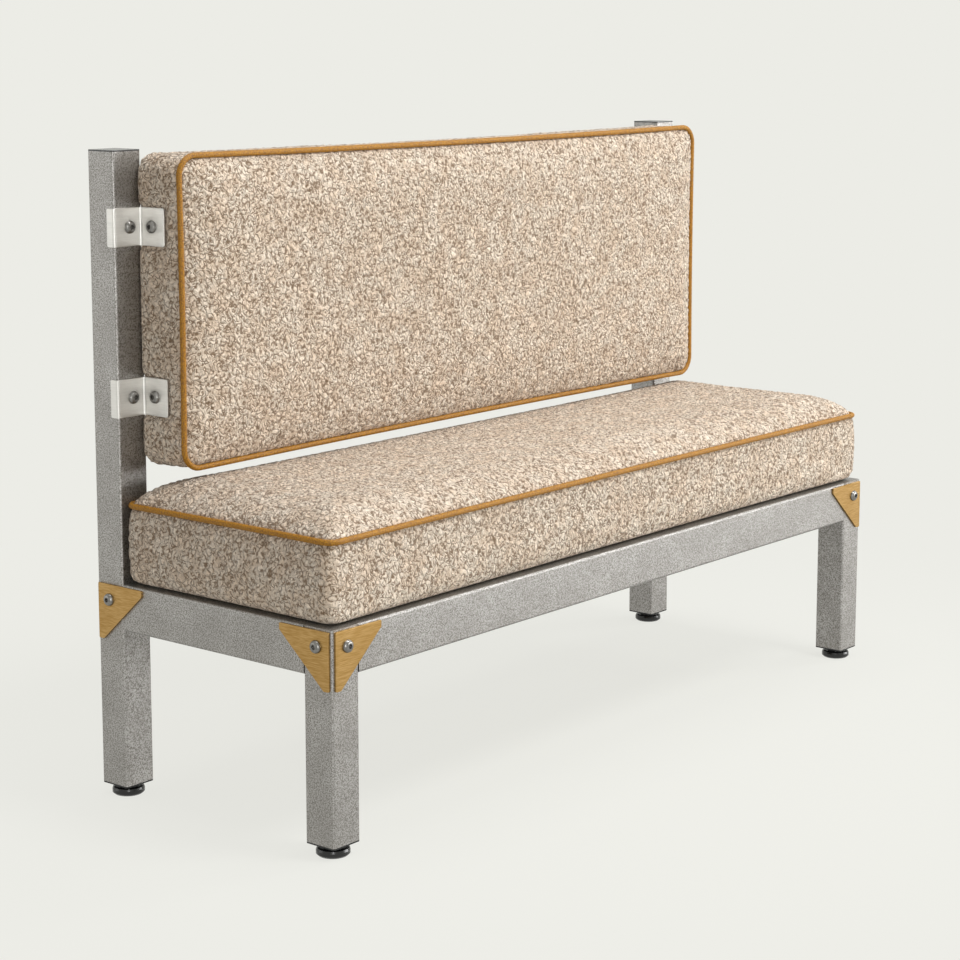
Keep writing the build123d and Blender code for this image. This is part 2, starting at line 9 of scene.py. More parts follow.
import bmesh
import bpy
import numpy as np
from bpy.props import FloatProperty, FloatVectorProperty, IntProperty, PointerProperty
from bpy.types import Operator, Panel, PropertyGroup
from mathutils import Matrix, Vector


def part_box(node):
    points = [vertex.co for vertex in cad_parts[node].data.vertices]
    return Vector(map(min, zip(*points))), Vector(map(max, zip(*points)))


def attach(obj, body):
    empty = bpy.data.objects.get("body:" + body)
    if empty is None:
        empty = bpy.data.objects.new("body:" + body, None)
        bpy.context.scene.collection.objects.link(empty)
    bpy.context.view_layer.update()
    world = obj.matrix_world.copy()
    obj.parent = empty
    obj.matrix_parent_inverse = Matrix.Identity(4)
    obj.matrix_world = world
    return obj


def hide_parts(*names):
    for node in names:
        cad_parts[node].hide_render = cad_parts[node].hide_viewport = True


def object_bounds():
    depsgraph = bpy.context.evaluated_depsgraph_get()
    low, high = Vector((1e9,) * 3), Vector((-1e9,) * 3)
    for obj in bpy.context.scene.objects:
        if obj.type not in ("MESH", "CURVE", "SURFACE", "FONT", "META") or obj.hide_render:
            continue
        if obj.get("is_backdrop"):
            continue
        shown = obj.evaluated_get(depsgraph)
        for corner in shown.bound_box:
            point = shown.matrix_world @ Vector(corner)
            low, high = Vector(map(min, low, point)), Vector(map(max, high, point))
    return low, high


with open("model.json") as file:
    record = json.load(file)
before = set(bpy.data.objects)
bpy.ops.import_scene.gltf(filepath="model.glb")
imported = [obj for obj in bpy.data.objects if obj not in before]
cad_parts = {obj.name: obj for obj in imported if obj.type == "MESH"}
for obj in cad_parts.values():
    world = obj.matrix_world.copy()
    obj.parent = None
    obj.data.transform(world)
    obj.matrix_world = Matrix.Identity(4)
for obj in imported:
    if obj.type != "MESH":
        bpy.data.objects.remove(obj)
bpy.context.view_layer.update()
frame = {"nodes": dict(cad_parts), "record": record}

bl_info = {
    "name": "Booth bench",
    "version": (1, 0, 0),
    "blender": (4, 5, 0),
    "location": "View3D > Sidebar > Bench",
    "description": "Dresses the packed frame of a booth bench with its pads, piping and finishes",
    "category": "Object",
}

MM = 0.001
DOUBLES = 0.02 * MM

# Each lamp looks at the middle of the bench: its name, its place and its size
LAMPS = (
    ("key", (0.5, -2.3, 3.9), (1.2, 1.2)),
    ("top", (0.0, 0.2, 4.7), (2.4, 2.4)),
    ("rim", (3.3, -1.5, 2.8), (0.9, 0.9)),
    ("edge", (-2.9, -2.4, 0.9), (0.3, 1.6)),
    ("rear", (-3.2, 2.7, 0.6), (2.2, 1.1)),
    ("low", (2.4, -2.7, 0.6), (2.6, 0.8)),
)


def linear(hex_colour):
    """The linear red, green and blue of an sRGB hex colour."""
    digits = hex_colour.lstrip("#")
    shares = [int(digits[i:i + 2], 16) / 255 for i in (0, 2, 4)]
    return tuple(c / 12.92 if c <= 0.04045 else ((c + 0.055) / 1.055) ** 2.4 for c in shares)


def colour(name, description, hex_colour):
    """A colour property with this default."""
    return FloatVectorProperty(name=name, description=description, subtype="COLOR", size=3,
                               min=0.0, max=1.0, default=linear(hex_colour))


def length(name, description, millimetres):
    """A length property, given in millimetres and kept in metres."""
    return FloatProperty(name=name, description=description, unit="LENGTH", default=millimetres * MM)


def power(name, description, watts):
    """A lamp's power property."""
    return FloatProperty(name=name, description=description, unit="POWER", default=watts)


class PadSettings(PropertyGroup):
    """Form of the two upholstered pads."""

    seat_corner: length("Seat corner", "Corner radius of the seat pad in plan", 16.0)
    seat_round: length("Seat lower round", "Radius along the seat pad's lower edge", 9.0)
    seat_crown: length("Seat crown", "Rise of the seat pad above its piping", 37.0)
    back_corner: length("Back corner", "Corner radius of the back pad seen from the front", 28.0)
    back_round: length("Back rear round", "Radius along the back pad's rear edge", 2.0)
    back_crown: length("Back crown", "Rise of the back pad in front of its piping", 18.0)
    seat_swell: length("Seat swell", "How far the seat pad's ends stand out between base and seam", 7.5)
    seat_sag: length("Seat sag", "How far the seat pad's edge hangs below its board", 2.5)
    back_swell: length("Back swell", "How far the back pad's ends stand out at the posts", 9.0)
    side_swell: length("Side swell", "How far the pads' long sides stand out", 2.0)
    draw_long: length("Long draw-in", "How far the long sides pull in at their middles", 3.0)
    draw_short: length("Short draw-in", "How far the short sides pull in at their middles", 1.5)
    reach_share: FloatProperty(name="Crown reach", default=0.57,
                               description="Reach of the crown as a share of half the depth")
    voxel: length("Voxel", "Mesh size for the cloth simulation", 6.0)
    swell: length("Swell", "How much smaller the pad starts, and how far the pressure may swell it", 1.5)
    pressure: FloatProperty(name="Pressure", description="Pressure inside the cover", default=4.0)
    frames: IntProperty(name="Frames", description="Frames of cloth simulation", default=20)


class FabricSettings(PropertyGroup):
    """Looped wool-blend cover."""

    curl: length("Curl", "Length of the curled strands of yarn", 10.0)
    lump: length("Lump", "Spacing of the knobs that show in the outline", 9.0)
    pile: length("Pile", "Height of the knobs", 1.7)
    seam_depth: length("Seam depth", "How far the cover sinks beside the piping", 1.8)
    seam_width: length("Seam width", "How wide that hollow is", 6.0)
    light: colour("Light yarn", "Yarn in its lightest dye", "#efdfcb")
    warm: colour("Warm yarn", "Yarn in its warmest dye", "#e6d0b8")
    gap: colour("Gap", "Shade between the loops", "#735c43")


class PipingSettings(PropertyGroup):
    """Cord along the pads' seams, covered in bias-cut cotton."""

    radius: length("Radius", "Radius of the covered cord", 4.0)
    inset: length("Inset", "How far the cord's middle lies inside the pad's outline", 2.0)
    pucker: length("Pucker", "Spacing of the puckers along the cord", 7.0)
    light: colour("Light", "Mustard cotton in the light", "#b07a08")
    dark: colour("Dark", "Mustard cotton in its creases", "#7e5102")


class MetalSettings(PropertyGroup):
    """Finishes of the frame, the gussets and the fasteners."""

    tube: colour("Tube", "Tumbled aluminium between its pits", "#b2b0ae")
    tube_pit: colour("Tube pits", "Pits in the tumbled aluminium", "#736f6a")
    bracket: colour("Bracket", "Satin aluminium", "#d2d0cc")
    brass: colour("Brass", "Brushed brass", "#bd9b66")
    brass_dark: colour("Brass lines", "Brush lines in the brass", "#967239")
    screw: colour("Screw", "Turned stainless steel", "#8d8b88")
    stud: colour("Stud", "Zinc plate on the studs, nuts, inserts and wood screws", "#8f9195")


class TrimSettings(PropertyGroup):
    """Colours of the plastic, rubber and timber pieces."""

    plastic: colour("Plastic", "Moulded nylon of the glides and plugs", "#141414")
    rubber: colour("Rubber", "Moulded rubber of the seat's spacers", "#181818")
    plywood: colour("Plywood", "Birch veneer of the boards", "#dcc39a")
    plywood_grain: colour("Plywood grain", "Grain lines in the birch veneer", "#c2a276")
    softwood: colour("Softwood", "Planed softwood of the battens", "#dcc096")
    softwood_grain: colour("Softwood grain", "Grain lines in the softwood", "#bf9b69")


class StageSettings(PropertyGroup):
    """Camera, floor and light."""

    lens: FloatProperty(name="Lens", description="Focal length on a 36 mm sensor", default=87.595)
    yaw: FloatProperty(name="Yaw", description="Heading of the view, from +Y towards +X", subtype="ANGLE",
                       default=math.radians(50.551))
    pitch: FloatProperty(name="Pitch", description="How far the view looks down", subtype="ANGLE",
                         default=math.radians(8.6665))
    distance: length("Distance", "Camera from the bench's middle along the heading", 3501.426)
    sideways: length("Sideways", "Camera beside that line", -56.728)
    height: length("Height", "Camera above the floor", 1055.627)
    shift: FloatProperty(name="Shift", description="Lens shift upwards", default=-0.1)
    backdrop: colour("Backdrop", "Pale ground", "#ecece6")
    key_power: power("Key light", "Large lamp above, in front and to the right", 103.0)
    top_power: power("Top light", "Wide lamp overhead", 74.0)
    rim_power: power("Rim light", "Lamp high at the right, for the rails' upper edges", 40.0)
    edge_power: power("Edge light", "Tall lamp in front and to the left, for the tubes' edges", 32.0)
    rear_power: power("Rear light", "Lamp behind and to the left, for the ends", 8.0)
    low_power: power("Low light", "Lamp at the height of the rails, in front and to the right", 56.0)
    ambient: FloatProperty(name="Ambient", description="Strength of the even light", default=0.2)
    bounce: FloatProperty(name="Bounce", description="Share of the light that the floor sends back",
                          default=0.62)


class BenchSettings(PropertyGroup):
    """All settings of the bench."""

    pads: PointerProperty(type=PadSettings)
    fabric: PointerProperty(type=FabricSettings)
    piping: PointerProperty(type=PipingSettings)
    metal: PointerProperty(type=MetalSettings)
    trim: PointerProperty(type=TrimSettings)
    stage: PointerProperty(type=StageSettings)


def settings():
    """The scene's bench settings."""
    return bpy.context.scene.booth_bench


# Shader building

def shade(tree, kind, inputs=None, **options):
    """Adds one node with its settings; inputs maps a socket to a value or to the output that feeds it."""
    made = tree.nodes.new(kind)
    for name, value in options.items():
        setattr(made, name, value)
    for name, value in (inputs or {}).items():
        if isinstance(value, bpy.types.NodeSocket):
            tree.links.new(value, made.inputs[name])
        else:
            made.inputs[name].default_value = value
    return made


def blended(tree, share, first, second):
    """The colour between two colours, by share."""
    mix = shade(tree, "ShaderNodeMix", data_type="RGBA")
    for socket, value in ((0, share), (6, first), (7, second)):
        if isinstance(value, bpy.types.NodeSocket):
            tree.links.new(value, mix.inputs[socket])
        else:
            mix.inputs[socket].default_value = value if socket == 0 else (*value, 1.0)
    return mix.outputs[2]


def ranged(tree, value, low, high, to_low=0.0, to_high=1.0):
    """A value carried smoothly from one range to another."""
    return shade(tree, "ShaderNodeMapRange",
                 {"Value": value, "From Min": low, "From Max": high, "To Min": to_low, "To Max": to_high},
                 interpolation_type="SMOOTHSTEP").outputs["Result"]


def surface(tree, shader, height, depth, strength, edge=0.0):
    """Joins the bump to the shader, over normals rounded to the edge's width where one is given."""
    bump = shade(tree, "ShaderNodeBump", {"Height": height, "Distance": depth, "Strength": strength})
    if edge:
        soft = shade(tree, "ShaderNodeBevel", {"Radius": edge}, samples=4)
        tree.links.new(soft.outputs["Normal"], bump.inputs["Normal"])
    tree.links.new(bump.outputs["Normal"], shader.inputs["Normal"])


def new_material(name):
    """An empty node material: its tree, its shader and the object's own coordinates."""
    material = bpy.data.materials.new(name)
    material.use_nodes = True
    tree = material.node_tree
    tree.nodes.clear()
    shader = shade(tree, "ShaderNodeBsdfPrincipled")
    shade(tree, "ShaderNodeOutputMaterial", {"Surface": shader.outputs["BSDF"]})
    place = shade(tree, "ShaderNodeTexCoord").outputs["Object"]
    return material, tree, shader, place


def boucle_material(fabric):
    """Boucle, a wool blend woven from looped yarn: matt curled strands, with soft dark slits between them.

    The slits lie where either of two bent noises passes its middle, and a third noise closes some of them.
    The slits are painted shade: they take the gap colour, which stands for the shade between the loops.
    Wool fibres are far finer than a millimetre, and are drawn at 2.4 mm so that they show.
    """
    relief = 1.4 * fabric.pile
    material, tree, shader, place = new_material("boucle_wool")
    warp = shade(tree, "ShaderNodeTexNoise", {"Vector": place, "Scale": 1.6 / fabric.curl, "Detail": 0.0})
    bent = shade(tree, "ShaderNodeVectorMath", {0: warp.outputs["Color"], 1: (0.5, 0.5, 0.5)},
                 operation="SUBTRACT")
    pushed = shade(tree, "ShaderNodeVectorMath",
                   {0: bent.outputs["Vector"], 1: (0.7 * fabric.curl,) * 3}, operation="MULTIPLY")
    curled = shade(tree, "ShaderNodeVectorMath", {0: place, 1: pushed.outputs["Vector"]}, operation="ADD")
    ridges = []
    for scale in (1.0, 1.27):
        noise = shade(tree, "ShaderNodeTexNoise", {"Vector": curled.outputs["Vector"],
                                                   "Scale": scale / fabric.curl,
                                                   "Detail": 1.0, "Roughness": 0.3})
        middle = shade(tree, "ShaderNodeMath", {0: noise.outputs["Fac"], 1: 0.5}, operation="SUBTRACT")
        away = shade(tree, "ShaderNodeMath", {0: middle.outputs[0]}, operation="ABSOLUTE")
        ridges.append(away.outputs[0])
    ridge = shade(tree, "ShaderNodeMath", {0: ridges[0], 1: ridges[1]}, operation="MINIMUM").outputs[0]
    fibres = shade(tree, "ShaderNodeTexNoise", {"Vector": place, "Scale": 1 / (2.4 * MM), "Detail": 1.0})
    fibre = fibres.outputs["Fac"]
    closing = shade(tree, "ShaderNodeTexNoise", {"Vector": place, "Scale": 1.9 / fabric.curl,
                                                 "Detail": 0.0})
    closed = ranged(tree, closing.outputs["Fac"], 0.48, 0.64, 0.0, 0.75)
    top = shade(tree, "ShaderNodeMath", {0: ranged(tree, ridge, 0.0, 0.08), 1: closed}, operation="MAXIMUM")
    dye = shade(tree, "ShaderNodeTexNoise", {"Vector": place, "Scale": 1 / (28 * MM), "Detail": 2.0})
    strand_colour = blended(tree, ranged(tree, dye.outputs["Fac"], 0.35, 0.65), fabric.warm, fabric.light)
    # Painted shade: the fibre noise darkens the strands a little towards the gap colour, and the slits take
    # the gap colour itself.
    hairy_and_shaded = blended(tree, ranged(tree, fibre, 0.35, 0.6, 0.22, 0.0), strand_colour, fabric.gap)
    tree.links.new(blended(tree, top.outputs[0], fabric.gap, hairy_and_shaded), shader.inputs["Base Color"])
    rounded = ranged(tree, ridge, 0.0, 0.2)
    height = shade(tree, "ShaderNodeMath", {0: fibre, 1: 0.25, 2: rounded}, operation="MULTIPLY_ADD")
    surface(tree, shader, height.outputs[0], relief, 1.0)
    shader.inputs["Roughness"].default_value = 0.95
    shader.inputs["Sheen Weight"].default_value = 0.2
    shader.inputs["Sheen Roughness"].default_value = 0.6
    return material


def piping_material(piping):
    """Cotton cut on the bias over a cord: a fine slanting weave, drawn at 1.6 mm so that it shows. The
    weave is partly the cotton's own texture and partly painted light and shade: it blends the cotton lit
    and in its shaded creases.
    """
    material, tree, shader, place = new_material("mustard_cotton")
    weave = shade(tree, "ShaderNodeTexNoise", {"Vector": place, "Scale": 1 / (1.6 * MM), "Detail": 2.0})
    share = ranged(tree, weave.outputs["Fac"], 0.35, 0.65)
    # Painted light and shade: the weave mixes the cotton's colour in its creases with its colour in the
    # light.
    tree.links.new(blended(tree, share, piping.dark, piping.light), shader.inputs["Base Color"])
    surface(tree, shader, weave.outputs["Fac"], 0.25 * MM, 0.5)
    shader.inputs["Roughness"].default_value = 0.58
    return material


def tumbled_material(metal):
    """Extruded aluminium tumbled with stones: satin, with 1.8 mm grain, pits 5.5 mm apart and clouds."""
    material, tree, shader, place = new_material("tumbled_aluminium")
    grain = shade(tree, "ShaderNodeTexNoise", {"Vector": place, "Scale": 1 / (1.8 * MM), "Detail": 3.0,
                                               "Roughness": 0.7})
    cloud = shade(tree, "ShaderNodeTexNoise", {"Vector": place, "Scale": 1 / (45 * MM), "Detail": 3.0})
    pits = shade(tree, "ShaderNodeTexVoronoi", {"Vector": place, "Scale": 1 / (5.5 * MM)})
    pitted = ranged(tree, pits.outputs["Distance"], 0.0, 0.22)
    speckled = blended(tree, ranged(tree, grain.outputs["Fac"], 0.36, 0.6), metal.tube_pit, metal.tube)
    scuffed = ranged(tree, cloud.outputs["Fac"], 0.3, 0.7, 0.0, 0.22)
    shaded = blended(tree, scuffed, speckled, metal.tube_pit)
    tree.links.new(blended(tree, pitted, metal.tube_pit, shaded), shader.inputs["Base Color"])
    rough = ranged(tree, grain.outputs["Fac"], 0.3, 0.7, 0.54, 0.4)
    tree.links.new(rough, shader.inputs["Roughness"])
    surface(tree, shader, grain.outputs["Fac"], 0.35 * MM, 0.5)
    shader.inputs["Metallic"].default_value = 1.0
    return material


def brushed_material(name, light, dark, roughness, line_width, contrast):
    """Sheet metal brushed along its length: fine lines, drawn as wide as they need to show."""
    material, tree, shader, place = new_material(name)
    stretched = shade(tree, "ShaderNodeMapping", {"Vector": place, "Scale": (0.06, 0.06, 1.0)})
    lines = shade(tree, "ShaderNodeTexNoise", {"Vector": stretched.outputs["Vector"],
                                               "Scale": 1 / line_width, "Detail": 3.0})
    cloud = shade(tree, "ShaderNodeTexNoise", {"Vector": place, "Scale": 1 / (30 * MM), "Detail": 2.0})
    brushed = blended(tree, ranged(tree, lines.outputs["Fac"], 0.3, 0.7, 1 - contrast, 1.0), dark, light)
    clouded = blended(tree, ranged(tree, cloud.outputs["Fac"], 0.35, 0.7, 0.0, 0.3), brushed, dark)
    tree.links.new(clouded, shader.inputs["Base Color"])
    rough = ranged(tree, lines.outputs["Fac"], 0.3, 0.7, roughness + 0.06, roughness - 0.04)
    tree.links.new(rough, shader.inputs["Roughness"])
    surface(tree, shader, lines.outputs["Fac"], 0.08 * MM, 0.5, edge=1.2 * MM)
    shader.inputs["Metallic"].default_value = 1.0
    return material


def turned_material(name, tone, roughness):
    """Steel turned on a lathe or plated: smooth, with slight clouding."""
    material, tree, shader, place = new_material(name)
    cloud = shade(tree, "ShaderNodeTexNoise", {"Vector": place, "Scale": 1 / (3 * MM), "Detail": 2.0})
    worn = tuple(0.7 * c for c in tone)
    tree.links.new(blended(tree, ranged(tree, cloud.outputs["Fac"], 0.3, 0.7), worn, tone),
                   shader.inputs["Base Color"])
    shader.inputs["Metallic"].default_value = 1.0
    shader.inputs["Roughness"].default_value = roughness
    return material


def moulded_material(name, tone, roughness, grain):
    """Moulded nylon or rubber: black, with the fine grain of its mould."""
    material, tree, shader, place = new_material(name)
    noise = shade(tree, "ShaderNodeTexNoise", {"Vector": place, "Scale": 1 / grain, "Detail": 2.0})
    lighter = tuple(1.8 * c for c in tone)
    tree.links.new(blended(tree, noise.outputs["Fac"], tone, lighter), shader.inputs["Base Color"])
    surface(tree, shader, noise.outputs["Fac"], 0.05 * MM, 0.3)
    shader.inputs["Roughness"].default_value = roughness
    return material


def timber_material(name, pale, dark, grain_width):
    """Birch veneer or planed softwood: grain running along X, lines a few millimetres apart."""
    material, tree, shader, place = new_material(name)
    stretched = shade(tree, "ShaderNodeMapping", {"Vector": place, "Scale": (0.05, 1.0, 1.0)})
    grain = shade(tree, "ShaderNodeTexNoise", {"Vector": stretched.outputs["Vector"],
                                               "Scale": 1 / grain_width, "Detail": 5.0})
    share = ranged(tree, grain.outputs["Fac"], 0.3, 0.7)
    tree.links.new(blended(tree, share, dark, pale), shader.inputs["Base Color"])
    shader.inputs["Roughness"].default_value = 0.6
    return material


# Surfaces

def mesh_object(name, points, faces):
    """A new object with its place in its mesh, its doubles merged and its faces turned outwards."""
    mesh = bpy.data.meshes.new(name)
    mesh.from_pydata(points.tolist(), [], faces.tolist())
    shape = bmesh.new()
    shape.from_mesh(mesh)
    bmesh.ops.remove_doubles(shape, verts=shape.verts, dist=DOUBLES)
    bmesh.ops.recalc_face_normals(shape, faces=shape.faces)
    shape.to_mesh(mesh)
    shape.free()
    made = bpy.data.objects.new(name, mesh)
    bpy.context.scene.collection.objects.link(made)
    return made


def grid_faces(rows, columns, wrap_rows):
    """Quads over a grid whose columns close on themselves, and its rows too where wrap_rows is true."""
    row = np.arange(rows if wrap_rows else rows - 1)[:, None]
    column = np.arange(columns)[None, :]
    below, beside = (row + 1) % rows, (column + 1) % columns
    corners = (row * columns + column, row * columns + beside,
               below * columns + beside, below * columns + column)
    return np.stack(np.broadcast_arrays(*corners), axis=-1).reshape(-1, 4)


def rounded_outline(half_width, half_height, corner, draw_long, draw_short, count):
    """Evenly spaced points of a rounded rectangle whose sides pull in by a parabola to their middles."""
    corner_points = 24
    turn = np.linspace(0, math.pi / 2, corner_points)
    arcs = []
    for quarter, (sx, sy) in enumerate(((1, 1), (-1, 1), (-1, -1), (1, -1))):
        angle = turn + quarter * math.pi / 2
        arcs.append(np.column_stack((sx * (half_width - corner) + corner * np.cos(angle),
                                     sy * (half_height - corner) + corner * np.sin(angle))))
    corners = np.vstack(arcs + [arcs[0][:1]])
    run = np.concatenate(([0], np.cumsum(np.hypot(*np.diff(corners, axis=0).T))))
    even = np.linspace(0, run[-1], count, endpoint=False)
    x, y = np.interp(even, run, corners[:, 0]), np.interp(even, run, corners[:, 1])
    pull_y = draw_long * np.clip(1 - (x / (half_width - corner)) ** 2, 0, 1) / half_height
    pull_x = draw_short * np.clip(1 - (y / (half_height - corner)) ** 2, 0, 1) / half_width
    return x * (1 - pull_x), y * (1 - pull_y)


class Pad:
    """One pad: its sizes, and where its own across, up and level directions lie in the frame."""

    def __init__(self, node, piping_node, board_node, facing_up, corner, edge_round, crown):
        pads, low_high = settings().pads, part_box(node)
        self.board_node = board_node
        low, high = np.array(low_high[0]), np.array(low_high[1])
        cord_low, cord_high = (np.array(p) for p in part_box(piping_node))
        self.facing_up = facing_up
        self.centre = (low + high) / 2
        self.half_width = (high[0] - low[0]) / 2
        if facing_up:
            self.base = low[2]
            self.half_height = (high[1] - low[1]) / 2
            self.seam_level = (cord_low[2] + cord_high[2]) / 2 - self.base
        else:
            self.base = high[1]
            self.half_height = (high[2] - low[2]) / 2
            self.seam_level = self.base - (cord_low[1] + cord_high[1]) / 2
        self.corner, self.edge_round, self.crown = corner, edge_round, crown
        self.draw_long, self.draw_short = pads.draw_long, pads.draw_short
        self.reach = self.half_height * pads.reach_share
        self.end_swell = pads.seat_swell if facing_up else pads.back_swell
        self.sag = pads.seat_sag if facing_up else 0.0

    def to_frame(self, x, y, level):
        """Points in the frame from the pad's own across, up and level."""
        if self.facing_up:
            return np.stack((x + self.centre[0], y + self.centre[1], self.base + level), axis=-1)
        return np.stack((x + self.centre[0], self.base - level, y + self.centre[2]), axis=-1)

    def from_frame(self, points):
        """The pad's own across, up and level of points in the frame."""
        moved = points - self.centre
        if self.facing_up:
            return moved[:, 0], moved[:, 1], points[:, 2] - self.base
        return moved[:, 0], moved[:, 2], self.base - points[:, 1]

    def inset(self, x, y):
        """How far inside the outline a point lies: the distance to a rounded rectangle with its draw-in."""
        along = np.clip(1 - (x / (self.half_width - self.corner)) ** 2, 0, 1)
        upright = np.clip(1 - (y / (self.half_height - self.corner)) ** 2, 0, 1)
        over_x = np.abs(x) - (self.half_width - self.draw_short * upright) + self.corner
        over_y = np.abs(y) - (self.half_height - self.draw_long * along) + self.corner
        outside = np.hypot(np.maximum(over_x, 0), np.maximum(over_y, 0))
        return self.corner - outside - np.minimum(np.maximum(over_x, over_y), 0)

    def profile(self, shrink):
        """Inset and level from the middle of the base, round its edge, up the side and over the crown.

        The crown rises as (1 - (1 - u)^3)^0.7, where u is the inset as a share of the crown's reach. The
        lower edge sinks by the sag, fading with the inset and with the level. The crown's points crowd
        towards the seam, where it is steepest.
        """
        round_points, side_points, crown_points, crowding = 8, 12, 40, 1.6
        sag_reach, sag_height = 12 * MM, 30 * MM
        angle = np.linspace(0, math.pi / 2, round_points)
        base_inset = self.edge_round * (1 - np.sin(angle))
        base_level = self.edge_round * (1 - np.cos(angle))
        side_level = np.linspace(self.edge_round, self.seam_level, side_points)[1:]
        share = np.linspace(0, 1, crown_points)[1:] ** crowding
        crown_level = self.seam_level + self.crown * (1 - (1 - share) ** 3) ** 0.7
        crown_inset = share * self.reach
        middle = self.half_height
        inset = np.concatenate(([middle, middle / 2], base_inset, np.zeros(side_level.size), crown_inset,
                                [(self.reach + middle) / 2, middle]))
        level = np.concatenate(([0, 0], base_level, side_level, crown_level,
                                [crown_level[-1], crown_level[-1]]))
        inwards = np.clip(1 - (inset - self.edge_round) / sag_reach, 0, 1)
        sinking = inwards * np.clip(1 - level / sag_height, 0, 1)
        sunk = np.where(level > self.seam_level, level - shrink, level - self.sag * sinking)
        return inset + shrink * (level > 0), sunk

    def surface(self, shrink):
        """The pad as one closed grid: its profile carried round the outline, drawn in to its middle line.

        With h the level as a share of the seam's, the sides swell by the root of sin(pi h) on the seat and
        by the root of 1 - h^2 on the back, so that its ends stand out most beside the posts. The seat's
        rear side stays flat.
        """
        outline_points = 720
        x, y = rounded_outline(self.half_width, self.half_height, self.corner, self.draw_long,
                               self.draw_short, outline_points)
        spine = np.clip(x, -(self.half_width - self.half_height), self.half_width - self.half_height)
        inset, level = self.profile(shrink)
        drawn = np.clip(inset / self.half_height, 0, 1)[:, None]
        pads = settings().pads
        rise = np.clip(level / self.seam_level, 0, 1)
        swell = np.sqrt(np.sin(math.pi * rise) if self.facing_up else 1 - rise ** 2)[:, None]
        across = ((1 - drawn) * x + drawn * spine) * (1 + swell * self.end_swell / self.half_width)
        swelling = pads.side_swell * (1 - self.facing_up * (y > 0))
        up = (1 - drawn) * y * (1 + swell * swelling / self.half_height)
        points = self.to_frame(across, up, np.broadcast_to(level[:, None], across.shape))
        return points.reshape(-1, 3), grid_faces(inset.size, x.size, False)


def evaluated(shape):
    """A finished mesh of the object with its modifiers applied."""
    graph = bpy.context.evaluated_depsgraph_get()
    return bpy.data.meshes.new_from_object(shape.evaluated_get(graph), depsgraph=graph)


def coordinates(mesh):
    """The mesh's points as an array."""
    flat = np.empty(len(mesh.vertices) * 3, dtype=np.float32)
    mesh.vertices.foreach_get("co", flat)
    return flat.reshape(-1, 3).astype(float)


def swollen(shape, pad):
    """Points of the cover after its pressure has filled it, moved no further than the cap."""
    pads = settings().pads
    stapled_level = 1.5 * MM
    before = coordinates(shape.data)
    held = np.flatnonzero(pad.from_frame(before)[2] < stapled_level)
    group = shape.vertex_groups.new(name="stapled")
    group.add(held.tolist(), 1.0, "REPLACE")
    cloth = shape.modifiers.new("Cover", "CLOTH")
    cloth.settings.use_pressure = True
    cloth.settings.uniform_pressure_force = pads.pressure
    cloth.settings.effector_weights.gravity = 0.0
    cloth.settings.vertex_group_mass = group.name
    cloth.settings.quality = 4
    for number in range(1, pads.frames + 1):
        bpy.context.scene.frame_set(number)
    graph = bpy.context.evaluated_depsgraph_get()
    after = coordinates(shape.evaluated_get(graph).to_mesh())
    bpy.context.scene.frame_set(1)
    shape.modifiers.remove(cloth)
    move = after - before
    size = np.linalg.norm(move, axis=1, keepdims=True)
    return before + move * np.minimum(1, pads.swell / np.maximum(size, 1e-9))


def knobs(points, spacing, seed):
    """Height of the loops: cosines in all directions, of nearly one wavelength, that pile up as knobs."""
    waves, shortest, longest, steepness = 36, 0.85, 1.15, 1.2
    random = np.random.default_rng(seed)
    way = random.normal(size=(waves, 3))
    way /= np.linalg.norm(way, axis=1, keepdims=True)
    wave = way * (2 * math.pi / spacing) * random.uniform(shortest, longest, size=(waves, 1))
    phase = random.uniform(0, 2 * math.pi, waves)
    height = np.cos(points @ wave.T + phase).sum(axis=1) / math.sqrt(waves / 2)
    return np.tanh(steepness * height)


def cover(name, pad, seed):
    """The upholstered pad: filled by pressure, sunk beside its seam, knobbly and flat where it rests."""
    pads, fabric, piping = settings().pads, settings().fabric, settings().piping
    resting_height = 4 * MM
    shape = mesh_object(name, *pad.surface(pads.swell))
    remesh = shape.modifiers.new("Even", "REMESH")
    remesh.mode = "VOXEL"
    remesh.voxel_size = pads.voxel
    shape.data = evaluated(shape)
    shape.modifiers.clear()
    shape.data.vertices.foreach_set("co", swollen(shape, pad).astype(np.float32).ravel())
    finer = shape.modifiers.new("Finer", "SUBSURF")
    finer.levels = finer.render_levels = 1
    shape.data = evaluated(shape)
    shape.modifiers.clear()
    shape.vertex_groups.clear()

    points = coordinates(shape.data)
    normals = np.empty(points.size, dtype=np.float32)
    shape.data.vertex_normals.foreach_get("vector", normals)
    normals = normals.reshape(-1, 3)
    x, y, level = pad.from_frame(points)
    from_seam = np.hypot(pad.inset(x, y) - piping.inset, level - pad.seam_level)
    sunk = fabric.seam_depth * np.exp(-(from_seam / fabric.seam_width) ** 2)
    resting = np.clip(level / resting_height, 0, 1)
    lift = 0.5 * fabric.pile * knobs(points, fabric.lump, seed) * resting - sunk
    points += normals * lift[:, None]
    x, y, level = pad.from_frame(points)
    level = clear_of_board(pad, x, y, level)
    if not pad.facing_up:
        x = clear_of_brackets(pad, x, y, level)
    shape.data.vertices.foreach_set("co", pad.to_frame(x, y, level).astype(np.float32).ravel())
    shape.data.polygons.foreach_set("use_smooth", np.ones(len(shape.data.polygons), dtype=bool))
    shape.data.update()
    return shape


def clear_of_board(pad, x, y, level):
    """The resting face lifted over the pad's board, whose face stays in sight, easing out past its edge."""
    lift, ease = 2.5 * MM, 5 * MM
    low, high = (np.array(p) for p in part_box(pad.board_node))
    half = (high - low) / 2
    beyond = np.maximum(np.abs(x) - half[0], np.abs(y) - (half[1] if pad.facing_up else half[2]))
    share = np.clip(1 - beyond / ease, 0, 1)
    return np.where(share > 0, np.maximum(level, lift * share), level)


